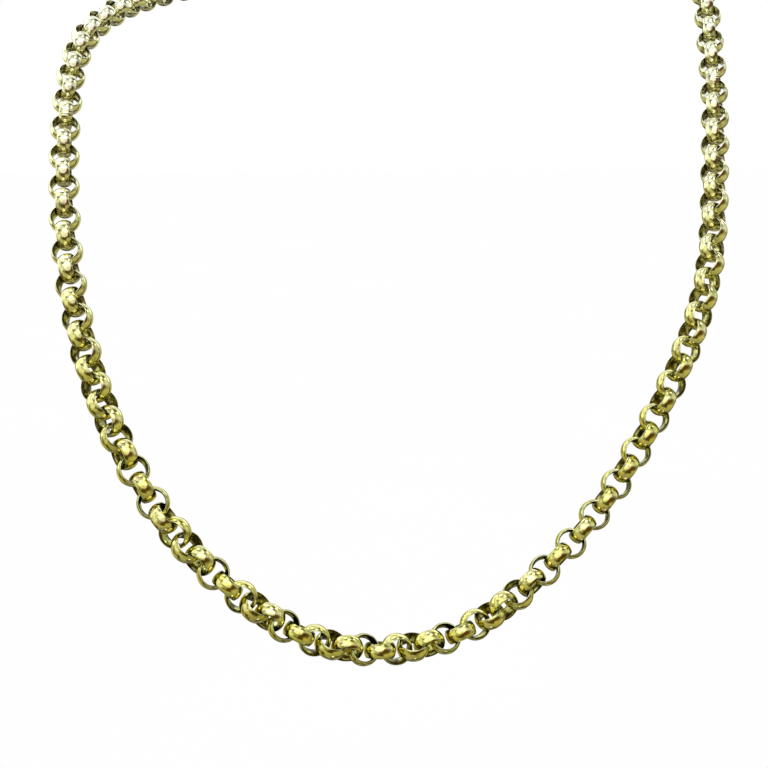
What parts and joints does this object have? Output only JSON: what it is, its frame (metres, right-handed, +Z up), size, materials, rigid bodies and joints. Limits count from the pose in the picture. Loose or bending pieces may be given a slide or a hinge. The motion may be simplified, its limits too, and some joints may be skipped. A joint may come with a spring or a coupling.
{
  "type": "rolo chain necklace",
  "caption": "Gold rolo neck chain of round interlocked links, held in its worn form as one closed loop with a plain ring clasp at the nape.",
  "frame": {"origin": "at the nape, in the middle of the clasp, where the chain sits on the wearer's neck", "axes": "+Z up, -Y the way the wearer faces, +X towards the wearer's left, which is the right of a front view"},
  "size_m": [0.1246, 0.1095, 0.1235],
  "materials": {
    "chain": "polished pale yellow gold, lightly scratched by wear",
    "clasp": "polished pale yellow gold, lightly scratched by wear"
  },
  "bodies": {
    "root": {"chain": "chain", "clasp": "clasp"}
  },
  "joints": []
}
